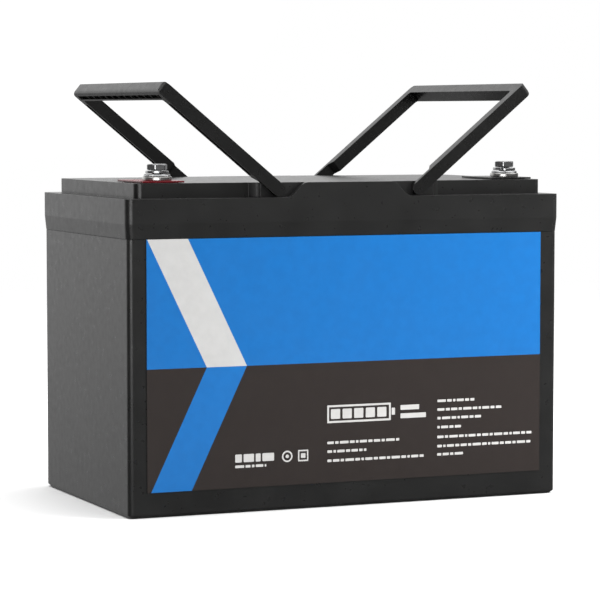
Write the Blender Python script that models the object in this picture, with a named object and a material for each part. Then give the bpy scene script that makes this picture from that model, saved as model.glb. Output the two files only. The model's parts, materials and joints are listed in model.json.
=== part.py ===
"""A 12 V deep cycle battery in a standard moulded case, with two folding carry handles.

Run it with: blender --background --python part.py
Dimensions here are millimetres, and the helpers build in metres. X runs along the
length, -Y is the labelled front, Z is up, and the origin is under the middle of the base.
"""

import math

import bmesh
import bpy
from mathutils import Matrix, Vector

MM = 0.001

# Clearances
GAP = 0.3          # between pieces that rest on or fit each other
STACK_GAP = 0.15   # between the clamped faces of the terminal hardware
LEAD_GAP = 1.0     # from a lead's end to the lug or block that it enters

# Outer case and cover
RIM_X, RIM_Y = 153.5, 85.7        # half length and half width over the cover's rim
OVERHANG = 1.12                   # rim beyond the case wall
CASE_X, CASE_Y = RIM_X - OVERHANG, RIM_Y - OVERHANG
CORNER, RIM_CORNER = 3.4, 4.6      # upright corner radius of the case and of the cover's rim
CASE_WALL = 3.4
CASE_FLOOR = 3.5
FOOT_CHAMFER = 1.5
SHOULDER_Z = 176.6                # top of the case's full-width wall
TONGUE_INSET = 1.6                # step from the wall back to the tongue that the cover laps
TONGUE_TOP = 197.5
SKIRT_Z = SHOULDER_Z + GAP        # lower lip of the cover
SKIRT_INSET = 0.77                # rim back to the lip
RIM_LOW_Z = 186.2                 # where the sloping skirt meets the upright rim
LEDGE_Z = 202.0                   # shelf that the folded handles lie in
DECK_Z = 211.6                    # top of the cover
PLATE = 3.0                       # thickness of the cover's flat walls
DECK_INSET = 9.15                 # deck edge behind the rim
DECK_X, DECK_Y = RIM_X - DECK_INSET, RIM_Y - DECK_INSET
DECK_CORNER = 4.8
SADDLE_TOP, SADDLE_FOOT = 30.1, 43.9   # half lengths of the flush middle part, at the deck and at the ledge
BOSS_Y = 82.0                     # face of the pivot bosses
BOSS_STEPS = ((70.6, 73.6), (64.2, 79.9), (63.2, 80.1), (61.3, BOSS_Y))   # their ends, out of the deck

# Carry handles, in a frame at the pivot: u out along the arm, y along the pivot, v through the thickness
PIVOT_X, PIVOT_Z = 49.6, 206.8
REST_TILT = 39.4                  # degrees above the folded position
ARM_HALF = 4.3                    # half the thickness, and the radius of the arm's round end
REACH = RIM_X - PIVOT_X           # pivot to the grip's outer face, which folds flush with the rim
GRIP_WIDTH = 8.4
SPAN_Y = 85.5                     # outer face of each arm
ARM_Y = 77.9                      # inner face of each arm
NECK_Y = 82.3                     # inner face beside the boss
NECK_END, NECK_SLOPE = 17.7, 3.4   # where the arm is at full width again, and the length of the step to it
PLAN_CORNER = 4.5
PIN_RADIUS, PIN_END_Y = 3.0, 77.4
POCKETS = 13                      # hollows moulded into the grip's underside, with a rib between each two
POCKET_WALL, POCKET_RIB = 1.5, 1.6
GRIP_OUTER_WALL = 3.3             # the hollows keep clear of the grip's rounded edge
POCKET_DEPTH = 6.0
RIB_RECESS = 1.8                  # the ribs stop short of the lips
UNDER_RADIUS, TOP_CHAMFER = 3.2, 0.7   # long edges of the grip's outer face

# Terminals
POST_X, POST_Y = 124.4, -61.7
PAD_HALF_X, PAD_FRONT, PAD_BACK = 14.7, -73.3, -26.6
PAD_THICK = 1.1
FLANGE_RADIUS, FLANGE_THICK = 9.5, 2.5
STEM_RADIUS, STEM_END_Z = 7.0, 199.5
THREAD_BORE, THREAD_DEPTH = 4.25, 14.4
WASHER_RADIUS, WASHER_THICK = 8.6, 1.3
SPRING_RADIUS, SPRING_THICK = 7.6, 2.3
SPRING_SPLIT = 1.4
BOLT_RADIUS, BOLT_LENGTH = 4.0, 16.0
HEAD_FLATS, HEAD_THICK = 12.0, 3.9
POST_NUT_FLATS, POST_NUT_THICK = 20.0, 5.0
LUG_THICK = 2.2
BARREL_RADIUS, BARREL_LENGTH = 4.0, 12.0
POST_LUG_RADIUS, CELL_LUG_RADIUS = 11.0, 9.0

# Label
LABEL_X = (-140.2, 140.0)
LABEL_Z = (16.0, 176.6)
LABEL_THICK = 0.3
LABEL_GAP = 0.2

# Cell pack
BASE_PAD_TOP = 13.5
CELL_BASE = BASE_PAD_TOP + GAP
CELL_THICK, CELL_WIDTH, CELL_HEIGHT = 49.2, 156.0, 112.0
CELL_PITCH = 50.2
DIVIDER_THICK = 0.5
CELL_TOP = CELL_BASE + CELL_HEIGHT
STUD_Y = 45.0
STUD_RADIUS, STUD_TOP = 3.0, CELL_TOP + 12.0
SEAT_RADIUS, SEAT_HEIGHT = 9.0, 2.5
BAR_LOW = CELL_TOP + SEAT_HEIGHT + GAP
BAR_THICK, BAR_WIDTH = 2.2, 18.0
CELL_NUT_FLATS, CELL_NUT_THICK = 10.0, 5.0
END_PLATE = 3.0
STRAP_THICK, STRAP_WIDTH = 0.6, 16.0

# Battery management board and its tray
TRAY_LOW, TRAY_THICK = 141.5, 2.0
TRAY_X, TRAY_Y = 92.0, 72.0
BOARD_LOW, BOARD_THICK = 149.5, 1.6
BOARD_X, BOARD_Y = 55.0, 45.0
LEG_RADIUS, LEG_Y = 4.0, 66.0
SPACER_RADIUS = 3.5
SCREW_X, SCREW_Y = 50.0, 40.0
SCREW_RADIUS, SCREW_REACH = 1.4, 4.0
SCREW_HEAD, SCREW_HEAD_THICK = 3.0, 1.8
SINK_X, SINK_LENGTH, SINK_WIDTH = -4.0, 82.0, 68.0
SINK_BASE, SINK_HEIGHT = 3.0, 15.0
SINK_FINS, FIN_THICK, FIN_FLARE = 8, 2.4, 1.2
BLOCK_X, BLOCK_HEIGHT = (40.0, 53.0), 8.6

# Leads
LEAD_RADIUS, LOOM_RADIUS = 3.8, 1.8
LEAD_STEPS = 16
BLOCK_Z = 155.6                   # height of the power leads where they meet the board's terminal block

MODEL = bpy.data.collections.new("deep_cycle_battery")
CUTTERS = bpy.data.collections.new("cutters")


# ---------------------------------------------------------------- helpers

def clear_scene():
    for old in list(bpy.data.objects):
        bpy.data.objects.remove(old, do_unlink=True)
    bpy.context.scene.collection.children.link(MODEL)
    bpy.context.scene.collection.children.link(CUTTERS)


def material(name, colour, roughness, metallic=0.0):
    mat = bpy.data.materials.new(name)
    mat.use_nodes = True
    shader = mat.node_tree.nodes["Principled BSDF"]
    shader.inputs["Base Color"].default_value = (*colour, 1.0)
    shader.inputs["Roughness"].default_value = roughness
    shader.inputs["Metallic"].default_value = metallic
    return mat


def place(name, mesh, mat=None, at=(0.0, 0.0, 0.0), turn=(0.0, 0.0, 0.0)):
    """A model object when it has a material, and a cutter when it has none. `at` is in millimetres."""
    item = bpy.data.objects.new(name, mesh)
    item.location = Vector(at) * MM
    item.rotation_euler = [math.radians(angle) for angle in turn]
    if mat is None:
        CUTTERS.objects.link(item)
        item.hide_render = True
        item.display_type = "WIRE"
    else:
        MODEL.objects.link(item)
        mesh.materials.clear()
        mesh.materials.append(mat)
    return item


def finish_mesh(name, bm):
    bmesh.ops.scale(bm, vec=(MM, MM, MM), verts=bm.verts)
    mesh = bpy.data.meshes.new(name)
    bm.to_mesh(mesh)
    bm.free()
    return mesh


def block_mesh(name, low, high, corner=0.0, steps=3, foot_inset=0.0, foot_height=0.0):
    """A box between two corners with rounded upright edges, whose foot can slope in by `foot_inset`
    over `foot_height`."""
    low, high = Vector(low), Vector(high)
    centre, size = (low + high) / 2, high - low
    bm = bmesh.new()
    bmesh.ops.create_cube(bm, size=1.0)
    bmesh.ops.scale(bm, vec=size, verts=bm.verts)
    bmesh.ops.translate(bm, vec=centre, verts=bm.verts)
    if foot_height:
        slope_foot(bm, centre, foot_inset, foot_height)
    if corner:
        upright = [edge for edge in bm.edges if abs(edge.verts[0].co.z - edge.verts[1].co.z) > 1e-3]
        bmesh.ops.bevel(bm, geom=upright, offset=corner, segments=steps, profile=0.5, affect="EDGES")
    bmesh.ops.recalc_face_normals(bm, faces=bm.faces)
    return finish_mesh(name, bm)


def slope_foot(bm, centre, inset, height):
    """Extrudes a box's bottom face into a foot that slopes in by `inset`."""
    bottom = min(bm.faces, key=lambda face: face.calc_center_median().z)
    lower = bmesh.ops.extrude_face_region(bm, geom=[bottom])
    foot = [part for part in lower["geom"] if isinstance(part, bmesh.types.BMVert)]
    bmesh.ops.delete(bm, geom=[bottom], context="FACES_ONLY")
    for vert in bm.verts:
        if vert not in foot and vert.co.z < centre.z:
            vert.co.z += height
    for vert in foot:
        vert.co.x -= math.copysign(inset, vert.co.x - centre.x)
        vert.co.y -= math.copysign(inset, vert.co.y - centre.y)


def round_mesh(name, radius, low, high, sides=24, top_radius=None, axis="Z", spin=0.0):
    """A cylinder, cone or, with six sides, hexagon from `low` to `high` along its axis."""
    bm = bmesh.new()
    bmesh.ops.create_cone(bm, cap_ends=True, segments=sides, radius1=radius, radius2=top_radius or radius,
                          depth=high - low)
    bmesh.ops.translate(bm, vec=(0.0, 0.0, (high + low) / 2), verts=bm.verts)
    lay = {"Z": Matrix(), "Y": Matrix.Rotation(math.radians(-90.0), 4, "X"),
           "X": Matrix.Rotation(math.radians(90.0), 4, "Y")}[axis]
    bmesh.ops.transform(bm, matrix=lay @ Matrix.Rotation(math.radians(spin), 4, "Z"), verts=bm.verts)
    return finish_mesh(name, bm)


def arc(centre, radius, start, end, steps):
    """Points on an arc in degrees, both ends included."""
    points = []
    for step in range(steps + 1):
        angle = math.radians(start + (end - start) * step / steps)
        points.append((centre[0] + radius * math.cos(angle), centre[1] + radius * math.sin(angle)))
    return points


def s_step(start, end, steps=8):
    """Points of a smooth S between two corners: level at both ends, steep in the middle."""
    points = []
    for step in range(steps + 1):
        share = step / steps
        rise = (1.0 - math.cos(math.pi * share)) / 2.0
        points.append((start[0] + (end[0] - start[0]) * share, start[1] + (end[1] - start[1]) * rise))
    return points


def outline_mesh(name, outline, thickness):
    """A flat outline in XY, filled and extruded to half its thickness each way, as one welded mesh."""
    curve = bpy.data.curves.new(name, "CURVE")
    curve.dimensions = "2D"
    curve.fill_mode = "BOTH"
    curve.extrude = thickness * MM / 2
    spline = curve.splines.new("POLY")
    spline.points.add(len(outline) - 1)
    for point, (x, y) in zip(spline.points, outline):
        point.co = (x * MM, y * MM, 0.0, 1.0)
    spline.use_cyclic_u = True
    return curve_to_mesh(name, curve)


def curve_to_mesh(name, curve):
    guide = bpy.data.objects.new(name + "_curve", curve)
    CUTTERS.objects.link(guide)
    graph = bpy.context.evaluated_depsgraph_get()
    mesh = bpy.data.meshes.new_from_object(guide.evaluated_get(graph))
    bpy.data.objects.remove(guide, do_unlink=True)
    bm = bmesh.new()
    bm.from_mesh(mesh)
    bmesh.ops.remove_doubles(bm, verts=bm.verts, dist=1e-6)
    bmesh.ops.recalc_face_normals(bm, faces=bm.faces)
    bm.to_mesh(mesh)
    bm.free()
    mesh.name = name
    return mesh


def combine(item, tool, operation):
    """Adds a Boolean with another shape, which becomes a cutter."""
    change = item.modifiers.new(tool.name, "BOOLEAN")
    change.operation = operation
    change.object = tool
    change.solver = "EXACT"
    return item


def cut(item, tool):
    return combine(item, tool, "DIFFERENCE")


def join(item, tool):
    return combine(item, tool, "UNION")


def baked(item, name):
    """The mesh of an object with its modifiers, for pieces that come more than once."""
    graph = bpy.context.evaluated_depsgraph_get()
    mesh = bpy.data.meshes.new_from_object(item.evaluated_get(graph))
    mesh.name = name
    bpy.data.objects.remove(item, do_unlink=True)
    return mesh


def smooth(item, angle=35.0):
    item.data.shade_smooth()
    item.data.set_sharp_from_angle(angle=math.radians(angle))
    return item


def hex_radius(flats):
    return flats / math.sqrt(3.0)


# ---------------------------------------------------------------- case, cover, seal

def make_case(plastic):
    case = place("case", block_mesh("case", (-CASE_X, -CASE_Y, 0.0), (CASE_X, CASE_Y, SHOULDER_Z), CORNER,
                                    foot_inset=FOOT_CHAMFER, foot_height=FOOT_CHAMFER), plastic)
    tongue_x, tongue_y = CASE_X - TONGUE_INSET, CASE_Y - TONGUE_INSET
    tongue = place("case_tongue", block_mesh("case_tongue", (-tongue_x, -tongue_y, SHOULDER_Z - 8.0),
                                             (tongue_x, tongue_y, TONGUE_TOP), CORNER - TONGUE_INSET))
    inner_x, inner_y = CASE_X - CASE_WALL, CASE_Y - CASE_WALL
    hollow = place("case_hollow", block_mesh("case_hollow", (-inner_x, -inner_y, CASE_FLOOR),
                                             (inner_x, inner_y, TONGUE_TOP + 5.0), 1.5))
    join(case, tongue)
    cut(case, hollow)
    return smooth(case)


def make_seal(rubber):
    outer_x, outer_y = CASE_X - TONGUE_INSET - 0.1, CASE_Y - TONGUE_INSET - 0.1
    inner_x, inner_y = CASE_X - CASE_WALL + 0.1, CASE_Y - CASE_WALL + 0.1
    low, high = TONGUE_TOP + GAP, LEDGE_Z - PLATE - GAP
    strip = block_mesh("cover_seal", (-outer_x, -outer_y, low), (outer_x, outer_y, high), 2.0)
    seal = place("cover_seal", strip, rubber)
    hole = place("seal_hole", block_mesh("seal_hole", (-inner_x, -inner_y, low - 2.0),
                                         (inner_x, inner_y, high + 2.0), 1.5))
    cut(seal, hole)
    return smooth(seal)


def saddle_outline():
    """Side view of the middle of the cover: level top with an S-shaped ramp down to the ledge at each end."""
    right = s_step((SADDLE_FOOT, LEDGE_Z), (SADDLE_TOP, DECK_Z))
    left = [(-x, z) for x, z in reversed(right)]
    root = LEDGE_Z - 6.0
    return [(SADDLE_FOOT, root)] + right + left + [(-SADDLE_FOOT, root)]


def boss_outline():
    """Plan of the part of the deck with the pivot bosses, which end in two small sloping steps each."""
    left = [(-x, y) for x, y in reversed(BOSS_STEPS)]
    back = [*BOSS_STEPS, *left]
    front = [(-x, -y) for x, y in back]
    return back + front


def make_cover(plastic):
    cover = place("cover", block_mesh("cover", (-RIM_X, -RIM_Y, SKIRT_Z), (RIM_X, RIM_Y, LEDGE_Z), RIM_CORNER,
                                      foot_inset=SKIRT_INSET, foot_height=RIM_LOW_Z - SKIRT_Z), plastic)
    deck = place("cover_deck", block_mesh("cover_deck", (-DECK_X, -DECK_Y, LEDGE_Z - 4.0),
                                          (DECK_X, DECK_Y, DECK_Z), DECK_CORNER, 5))
    bosses = place("cover_bosses", outline_mesh("cover_bosses", boss_outline(), DECK_Z - LEDGE_Z + 5.0),
                   at=(0.0, 0.0, (DECK_Z + LEDGE_Z - 5.0) / 2))
    saddle = place("cover_saddle", outline_mesh("cover_saddle", saddle_outline(), 2 * RIM_Y),
                   turn=(90.0, 0.0, 0.0))
    for raised in (deck, bosses, saddle):
        join(cover, raised)

    lap_x, lap_y = CASE_X - TONGUE_INSET + GAP, CASE_Y - TONGUE_INSET + GAP
    lap = place("cover_lap", block_mesh("cover_lap", (-lap_x, -lap_y, SKIRT_Z - 5.0),
                                        (lap_x, lap_y, LEDGE_Z - PLATE), CORNER - TONGUE_INSET))
    room_x, room_y = DECK_X - PLATE, DECK_Y - PLATE
    room = place("cover_room", block_mesh("cover_room", (-room_x, -room_y, LEDGE_Z - PLATE - 4.0),
                                          (room_x, room_y, DECK_Z - PLATE), 2.5))
    pocket_x, pocket_y = SADDLE_TOP - PLATE, RIM_Y - PLATE
    pocket = place("saddle_room", block_mesh("saddle_room", (-pocket_x, -pocket_y, LEDGE_Z - PLATE - 4.0),
                                             (pocket_x, pocket_y, DECK_Z - PLATE - 0.4)))
    for hollow in (lap, room, pocket):
        cut(cover, hollow)

    for side in (-1, 1):
        for face in (-1, 1):
            bore = round_mesh("pivot_bore", PIN_RADIUS + GAP, PIN_END_Y - 0.3, BOSS_Y + 3.0, 20, axis="Y")
            turn = (0.0, 0.0, 90.0 - 90.0 * face)
            cut(cover, place("pivot_bore", bore, at=(side * PIVOT_X, 0.0, PIVOT_Z), turn=turn))
        hole = round_mesh("post_hole", STEM_RADIUS + GAP, DECK_Z - 10.0, DECK_Z + 5.0, 24)
        cut(cover, place("post_hole", hole, at=(side * POST_X, POST_Y, 0.0)))
    return smooth(cover)


# ---------------------------------------------------------------- handles

def handle_plan():
    """Plan of the bail: two arms and the grip across their outer ends, necked beside the pivots."""
    inner = REACH - GRIP_WIDTH
    half = [(-ARM_HALF - 2.0, SPAN_Y), (-ARM_HALF - 2.0, NECK_Y), (NECK_END - NECK_SLOPE, NECK_Y)]
    half += [(NECK_END, ARM_Y)]
    half += arc((inner - 2.0, ARM_Y - 2.0), 2.0, 90.0, 0.0, 3)
    outer = arc((REACH - PLAN_CORNER, SPAN_Y - PLAN_CORNER), PLAN_CORNER, 0.0, 90.0, 4)
    inside = half[1:]
    mirrored_inside = [(u, -y) for u, y in reversed(inside)]
    mirrored_outer = [(u, -y) for u, y in reversed(outer)]
    start = [(-ARM_HALF - 2.0, -SPAN_Y)]
    return inside + mirrored_inside + start + mirrored_outer + outer + half[:1]


def handle_side():
    """Side view of the bail: round at the pivot, square on top of the grip, rounded under it."""
    points = arc((0.0, 0.0), ARM_HALF, 90.0, 270.0, 10)
    points += arc((REACH - UNDER_RADIUS, -ARM_HALF + UNDER_RADIUS), UNDER_RADIUS, -90.0, 0.0, 4)
    points += [(REACH, ARM_HALF - TOP_CHAMFER), (REACH - TOP_CHAMFER, ARM_HALF)]
    return points


def boxes_mesh(name, boxes, depth):
    """Cutters for hollows of one depth in the bail's underside, from (low, high) corners in plan."""
    bm = bmesh.new()
    for low, high in boxes:
        box = bmesh.ops.create_cube(bm, size=1.0)["verts"]
        size = Vector((high[0] - low[0], high[1] - low[1], depth + 4.0))
        centre = Vector(((high[0] + low[0]) / 2, (high[1] + low[1]) / 2, -ARM_HALF + (depth - 4.0) / 2))
        bmesh.ops.scale(bm, vec=size, verts=box)
        bmesh.ops.translate(bm, vec=centre, verts=box)
    return finish_mesh(name, bm)


def pocket_boxes():
    """Plan of the hollows in the bail's underside: a row of cells in the grip and a channel in each arm."""
    length = 2 * (SPAN_Y - PLAN_CORNER)
    pitch = length / POCKETS
    inner = REACH - GRIP_WIDTH
    boxes = []
    for index in range(POCKETS):
        middle = -length / 2 + pitch * (index + 0.5)
        boxes.append(((inner + POCKET_WALL, middle - (pitch - POCKET_RIB) / 2),
                      (REACH - GRIP_OUTER_WALL, middle + (pitch - POCKET_RIB) / 2)))
    for side in (-1, 1):
        edges = sorted((side * (ARM_Y + POCKET_WALL), side * (SPAN_Y - POCKET_WALL)))
        boxes.append(((NECK_END + 3.0, edges[0]), (inner - 4.0, edges[1])))
    return boxes


def groove_box():
    """Plan of the shallow groove along the grip that leaves the ribs lower than the lips."""
    half = SPAN_Y - PLAN_CORNER - POCKET_RIB / 2
    return (REACH - GRIP_WIDTH + POCKET_WALL, -half), (REACH - GRIP_OUTER_WALL, half)


def handle_mesh():
    bail = place("bail", outline_mesh("bail", handle_plan(), 2 * ARM_HALF + 4.0))
    side = place("bail_side", outline_mesh("bail_side", handle_side(), 2 * SPAN_Y + 10.0),
                 turn=(90.0, 0.0, 0.0))
    combine(bail, side, "INTERSECT")
    for face in (-1, 1):
        pin = round_mesh("bail_pin", PIN_RADIUS, PIN_END_Y, NECK_Y + 1.5, 20, axis="Y")
        join(bail, place("bail_pin", pin, turn=(0.0, 0.0, 90.0 - 90.0 * face)))
    cut(bail, place("bail_groove", boxes_mesh("bail_groove", [groove_box()], RIB_RECESS)))
    cut(bail, place("bail_pockets", boxes_mesh("bail_pockets", pocket_boxes(), POCKET_DEPTH)))
    return baked(bail, "carry_handle")


def make_handles(plastic):
    mesh = handle_mesh()
    for name, side in (("handle_left", -1), ("handle_right", 1)):
        turn = (0.0, -REST_TILT, 90.0 - 90.0 * side)
        handle = place(name, mesh, plastic, at=(side * PIVOT_X, 0.0, PIVOT_Z), turn=turn)
        smooth(handle)


# ---------------------------------------------------------------- terminals

def ring_mesh(name, outer, inner, low, high, sides=28):
    """A flat ring made as a turned rectangle."""
    bm = bmesh.new()
    corners = [(outer, high), (outer, low), (inner, low), (inner, high)]
    verts = [bm.verts.new((radius, 0.0, height)) for radius, height in corners]
    edges = [bm.edges.new((verts[i], verts[(i + 1) % 4])) for i in range(4)]
    bmesh.ops.spin(bm, geom=verts + edges, cent=(0.0, 0.0, 0.0), axis=(0.0, 0.0, 1.0),
                   angle=math.tau, steps=sides, use_merge=True)
    bmesh.ops.remove_doubles(bm, verts=bm.verts, dist=1e-4)
    bmesh.ops.recalc_face_normals(bm, faces=bm.faces)
    return finish_mesh(name, bm)


def drilled(name, solid, radius, low, high, mat, at, sides=24, turn=(0.0, 0.0, 0.0)):
    """A solid with a round hole down its middle."""
    item = place(name, solid, mat, at=at, turn=turn)
    tool = place(name + "_hole", round_mesh(name + "_hole", radius, low, high, sides), at=at)
    return smooth(cut(item, tool))


def make_terminal(side, sign_name, pad_plastic, brass, steel, copper):
    at = (side * POST_X, POST_Y, 0.0)
    pad_low = DECK_Z + GAP
    pad_top = pad_low + PAD_THICK
    pad = block_mesh("terminal_pad", (-PAD_HALF_X, PAD_FRONT - POST_Y, pad_low),
                     (PAD_HALF_X, PAD_BACK - POST_Y, pad_top), 1.2, 2)
    drilled("terminal_pad_" + sign_name, pad, STEM_RADIUS + GAP, pad_low - 2, pad_top + 2, pad_plastic, at)

    flange_low = pad_top + STACK_GAP
    flange_top = flange_low + FLANGE_THICK
    stem = round_mesh("post", STEM_RADIUS, STEM_END_Z, flange_top - 1, 24)
    post = place("terminal_post_" + sign_name, stem, brass, at=at)
    flange = round_mesh("post_flange", FLANGE_RADIUS, flange_low, flange_top, 28)
    join(post, place("post_flange", flange, at=at))
    bore = round_mesh("post_bore", THREAD_BORE, flange_top - THREAD_DEPTH, flange_top + 3, 20)
    cut(post, place("post_bore", bore, at=at))
    smooth(post)

    washer_low = flange_top + STACK_GAP
    washer_top = washer_low + WASHER_THICK
    washer = ring_mesh("flat_washer", WASHER_RADIUS, BOLT_RADIUS + GAP, washer_low, washer_top)
    smooth(place("flat_washer_" + sign_name, washer, steel, at=at))

    spring_low = washer_top + STACK_GAP
    spring_top = spring_low + SPRING_THICK
    spring = ring_mesh("spring_washer", SPRING_RADIUS, BOLT_RADIUS + GAP, spring_low, spring_top)
    spring_washer = place("spring_washer_" + sign_name, spring, steel, at=at)
    split = block_mesh("washer_split", (0.0, -SPRING_SPLIT / 2, spring_low - 2),
                       (SPRING_RADIUS + 3, SPRING_SPLIT / 2, spring_top + 2))
    cut(spring_washer, place("washer_split", split, at=at, turn=(0.0, 0.0, -90.0 - 35.0 * side)))
    smooth(spring_washer)

    head_low = spring_top + STACK_GAP
    shank = round_mesh("bolt_shank", BOLT_RADIUS, head_low - BOLT_LENGTH, head_low + 1, 20)
    bolt = place("terminal_bolt_" + sign_name, shank, steel, at=at)
    head = round_mesh("bolt_head", hex_radius(HEAD_FLATS), head_low, head_low + HEAD_THICK, 6, spin=28.0)
    join(bolt, place("bolt_head", head, at=at))
    smooth(bolt)

    lug_top = DECK_Z - PLATE - GAP
    lug_low = lug_top - LUG_THICK
    radii = (STEM_RADIUS + GAP, POST_LUG_RADIUS)
    make_lug("post_lug_" + sign_name, radii, lug_low, copper, at, 90.0, hangs=True)
    nut_top = lug_low - GAP
    nut_low = nut_top - POST_NUT_THICK
    nut = round_mesh("post_nut", hex_radius(POST_NUT_FLATS), nut_low, nut_top, 6)
    drilled("post_nut_" + sign_name, nut, STEM_RADIUS + 0.2, nut_low - 2, nut_top + 2, brass, at)


def make_lug(name, radii, plate_low, mat, at, heading, hangs=False):
    """A crimp lug: a ring of hole and outer radius `radii`, and a barrel that lies on its plate's level
    or, with `hangs`, below it and clear of the nut."""
    hole_radius, ring_radius = radii
    plate_high = plate_low + LUG_THICK
    middle = plate_high - BARREL_RADIUS if hangs else plate_low + BARREL_RADIUS
    start = barrel_start(ring_radius, hangs)
    lug = place(name, round_mesh(name, ring_radius, plate_low, plate_high, 24), mat, at=at)
    strip = block_mesh("lug_strip", (ring_radius - 4.0, -BARREL_RADIUS + 0.6, plate_low + 0.05),
                       (start + 3.0, BARREL_RADIUS - 0.6, plate_high - 0.05))
    join(lug, place("lug_strip", strip, at=at, turn=(0.0, 0.0, heading)))
    barrel = round_mesh("lug_barrel", BARREL_RADIUS, start, start + BARREL_LENGTH, 14, axis="X")
    join(lug, place("lug_barrel", barrel, at=(at[0], at[1], middle), turn=(0.0, 0.0, heading)))
    hole = round_mesh("lug_hole", hole_radius, plate_low - 1.0, plate_high + 1.0, 24)
    cut(lug, place("lug_hole", hole, at=at))
    return smooth(lug)


def barrel_start(ring_radius, hangs):
    """Distance from a lug's hole to the near end of its barrel."""
    return ring_radius + 2.5 if hangs else ring_radius - 1.5


# ---------------------------------------------------------------- label

def make_label(film):
    face = -CASE_Y - LABEL_GAP
    sheet = block_mesh("label_front", (LABEL_X[0], face - LABEL_THICK, LABEL_Z[0]),
                       (LABEL_X[1], face, LABEL_Z[1]))
    place("label_front", sheet, film)


# ---------------------------------------------------------------- cell pack

def cell_x(number):
    return (number - 2.5) * CELL_PITCH


def cell_mesh():
    can = place("can", block_mesh("can", (-CELL_THICK / 2, -CELL_WIDTH / 2, CELL_BASE),
                                  (CELL_THICK / 2, CELL_WIDTH / 2, CELL_TOP), 2.0, 2))
    for side in (-1, 1):
        at = (0.0, side * STUD_Y, 0.0)
        seat = round_mesh("seat", SEAT_RADIUS, CELL_TOP - 1, CELL_TOP + SEAT_HEIGHT, 16)
        join(can, place("seat", seat, at=at))
        stud = round_mesh("stud", STUD_RADIUS, CELL_TOP, STUD_TOP, 12)
        join(can, place("stud", stud, at=at))
    return baked(can, "cell")


def make_cells(wrap, sheet_plastic):
    mesh = cell_mesh()
    for number in range(1, 5):
        smooth(place(f"cell_{number}", mesh, wrap, at=(cell_x(number), 0.0, 0.0)))
    thick, wide = DIVIDER_THICK / 2, CELL_WIDTH / 2 - 1
    for number in range(1, 4):
        middle = (cell_x(number) + cell_x(number + 1)) / 2
        sheet = block_mesh("divider", (-thick, -wide, CELL_BASE + 1), (thick, wide, CELL_TOP - 1))
        place(f"cell_divider_{number}", sheet, sheet_plastic, at=(middle, 0.0, 0.0))


def make_busbars(copper, steel):
    """Bars join the cells in series, and a nut holds each bar or lug on its stud."""
    half = (CELL_PITCH + BAR_WIDTH) / 2
    for first, side in ((1, 1), (2, -1), (3, 1)):
        middle = (cell_x(first) + cell_x(first + 1)) / 2
        strip = block_mesh("busbar", (-half, -BAR_WIDTH / 2, BAR_LOW),
                           (half, BAR_WIDTH / 2, BAR_LOW + BAR_THICK), 8.5, 4)
        bar = place(f"busbar_{first}_{first + 1}", strip, copper, at=(middle, side * STUD_Y, 0.0))
        for end in (-1, 1):
            hole = round_mesh("bar_hole", STUD_RADIUS + GAP, BAR_LOW - 2, BAR_LOW + BAR_THICK + 2, 12)
            cut(bar, place("bar_hole", hole, at=(middle + end * CELL_PITCH / 2, side * STUD_Y, 0.0)))
        smooth(bar)
    nut_low = BAR_LOW + BAR_THICK + GAP
    nut = place("nut", round_mesh("nut", hex_radius(CELL_NUT_FLATS), nut_low, nut_low + CELL_NUT_THICK, 6))
    bore = round_mesh("nut_bore", STUD_RADIUS + 0.2, nut_low - 2, nut_low + CELL_NUT_THICK + 2, 12)
    cut(nut, place("nut_bore", bore))
    nut_mesh = baked(nut, "cell_nut")
    for number in range(1, 5):
        for side, row in ((-1, "front"), (1, "back")):
            place(f"cell_nut_{number}_{row}", nut_mesh, steel, at=(cell_x(number), side * STUD_Y, 0.0))


def make_pack_frame(board, foam, strap_plastic):
    plate_in = cell_x(4) + CELL_THICK / 2 + GAP
    plate_out = plate_in + END_PLATE
    case_in_x, case_in_y = CASE_X - CASE_WALL, CASE_Y - CASE_WALL
    for name, side in (("left", -1), ("right", 1)):
        near, far = sorted((side * plate_in, side * plate_out))
        plate = block_mesh("end_plate", (near, -CELL_WIDTH / 2, CELL_BASE),
                           (far, CELL_WIDTH / 2, CELL_TOP - 2))
        place("end_plate_" + name, plate, board)
        foam_in = plate_out + STRAP_THICK + 2 * GAP
        near, far = sorted((side * foam_in, side * (case_in_x - GAP)))
        filler = block_mesh("end_foam", (near, -case_in_y + 1.2, CELL_BASE),
                            (far, case_in_y - 1.2, CELL_TOP - 6))
        place("end_foam_" + name, filler, foam)
    pad = block_mesh("base_pad", (-case_in_x + GAP, -case_in_y + GAP, CASE_FLOOR + GAP),
                     (case_in_x - GAP, case_in_y - GAP, BASE_PAD_TOP), 1.5, 2)
    place("base_pad", pad, foam)
    hold_x, hold_y = plate_out + GAP, CELL_WIDTH / 2 + GAP
    for name, middle in (("lower", CELL_BASE + 28.0), ("upper", CELL_BASE + 84.0)):
        low, high = middle - STRAP_WIDTH / 2, middle + STRAP_WIDTH / 2
        outer_x, outer_y = hold_x + STRAP_THICK, hold_y + STRAP_THICK
        band = block_mesh("strap", (-outer_x, -outer_y, low), (outer_x, outer_y, high), 1.2, 2)
        strap = place("pack_strap_" + name, band, strap_plastic)
        space = block_mesh("strap_space", (-hold_x, -hold_y, low - 2), (hold_x, hold_y, high + 2), 0.6, 2)
        cut(strap, place("strap_space", space))


# ---------------------------------------------------------------- battery management board

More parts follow.
